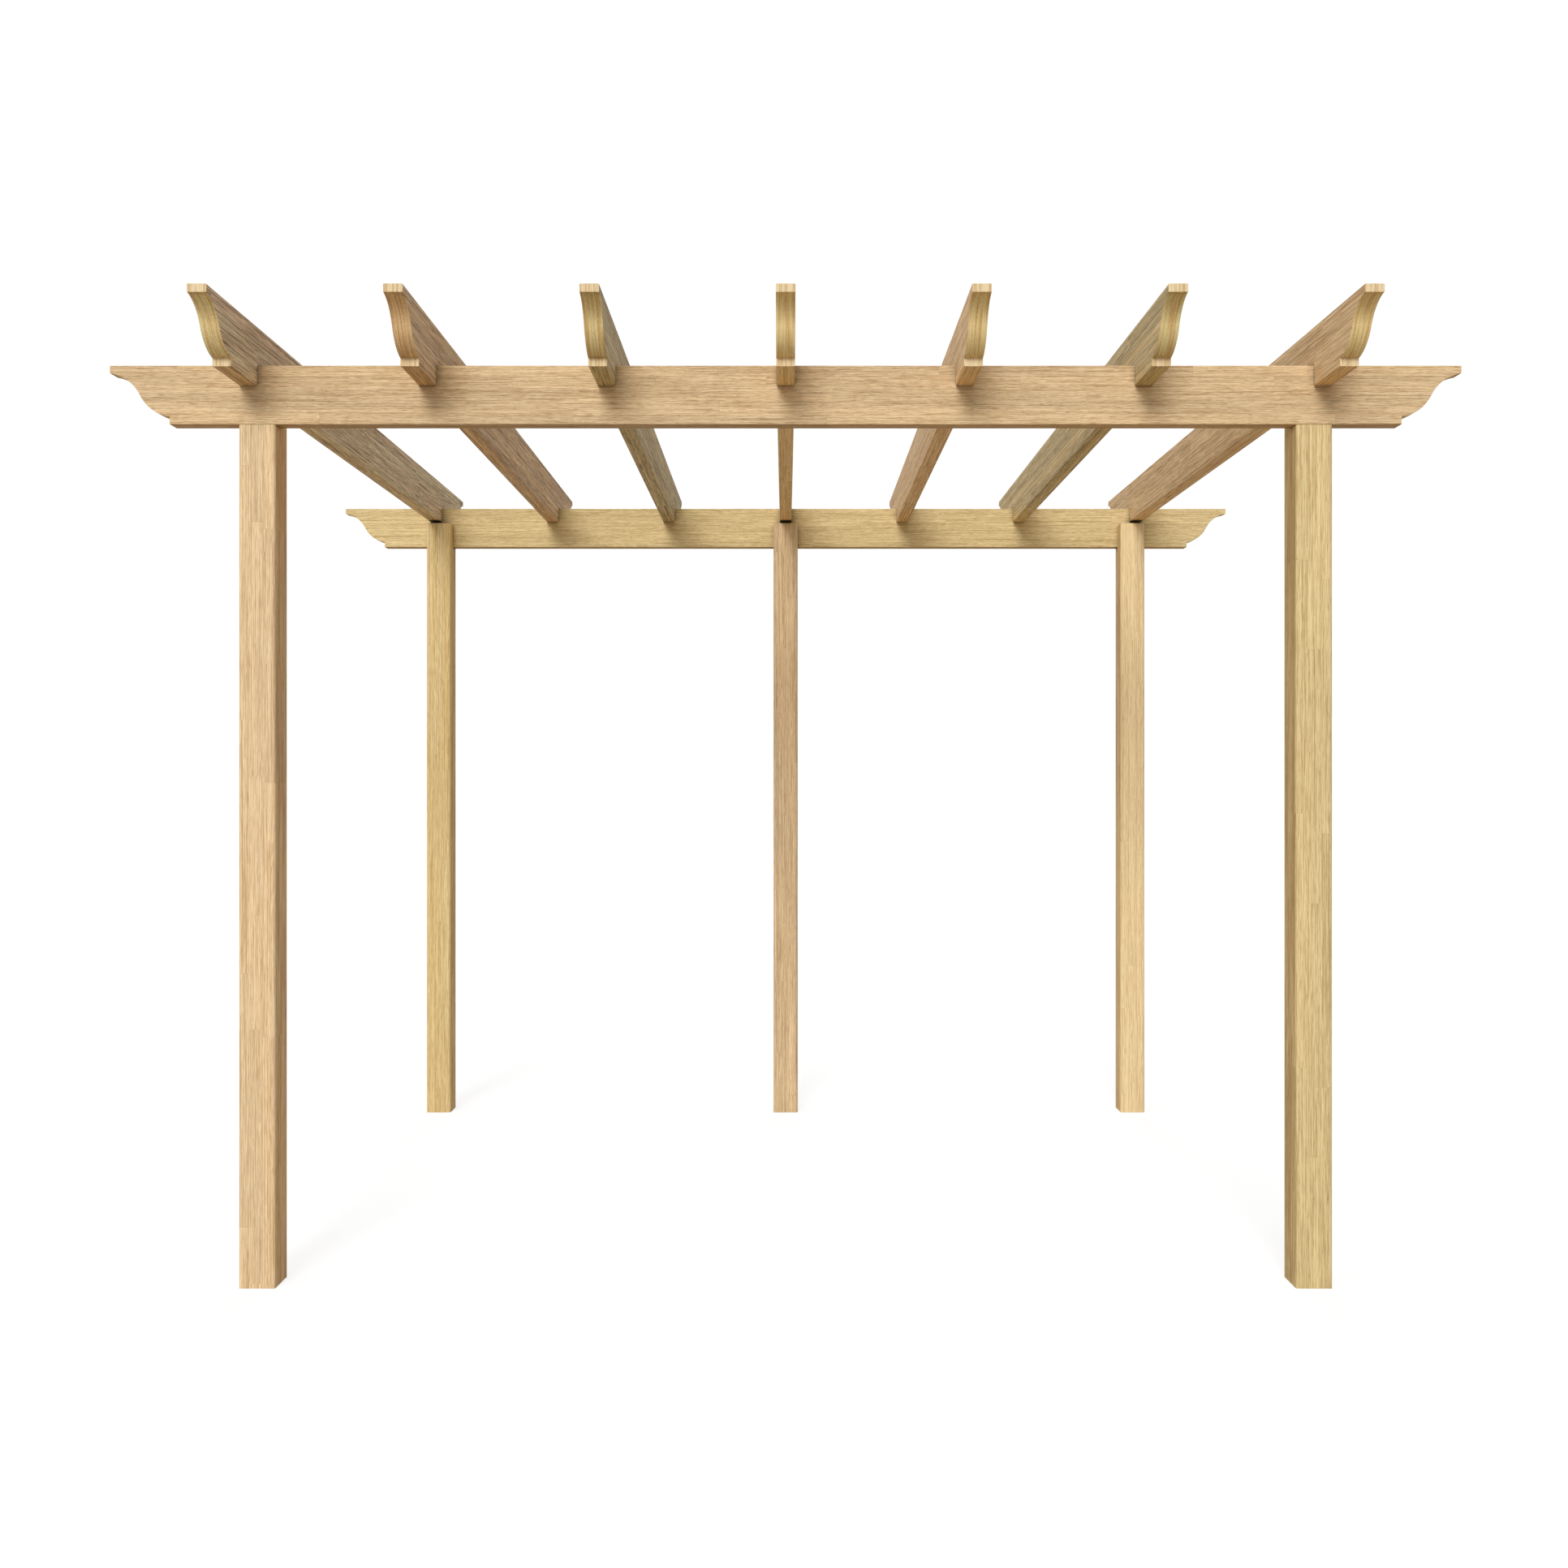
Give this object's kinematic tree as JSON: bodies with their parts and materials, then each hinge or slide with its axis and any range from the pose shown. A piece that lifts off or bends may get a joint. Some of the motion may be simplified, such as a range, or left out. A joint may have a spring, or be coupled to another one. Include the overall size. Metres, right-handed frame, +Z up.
{
  "type": "wooden pergola",
  "caption": "Open timber pergola: square posts rebated for front and back beams, crossed by rafters notched over them, all with ogee-shaped ends.",
  "frame": {"origin": "on the floor, under the middle of the frame", "axes": "+X along the beams to the right seen from the front, +Y from the front beam to the back beam, +Z up"},
  "size_m": [3.3, 2.6, 2.348],
  "materials": {
    "post_timber": "planed pale softwood, laminated, fine streaks along the length",
    "beam_timber": "planed pale softwood, fine streaks along the length, paler end grain",
    "rafter_timber": "planed pale softwood, dense dark streaks along the length, paler end grain"
  },
  "bodies": {
    "root": {"front_left_post": "post_timber", "front_right_post": "post_timber", "back_left_post": "post_timber", "back_centre_post": "post_timber", "back_right_post": "post_timber", "front_beam": "beam_timber", "back_beam": "beam_timber", "rafter_1": "rafter_timber", "rafter_2": "rafter_timber", "rafter_3": "rafter_timber", "rafter_4": "rafter_timber", "rafter_5": "rafter_timber", "rafter_6": "rafter_timber", "rafter_7": "rafter_timber"}
  },
  "joints": []
}
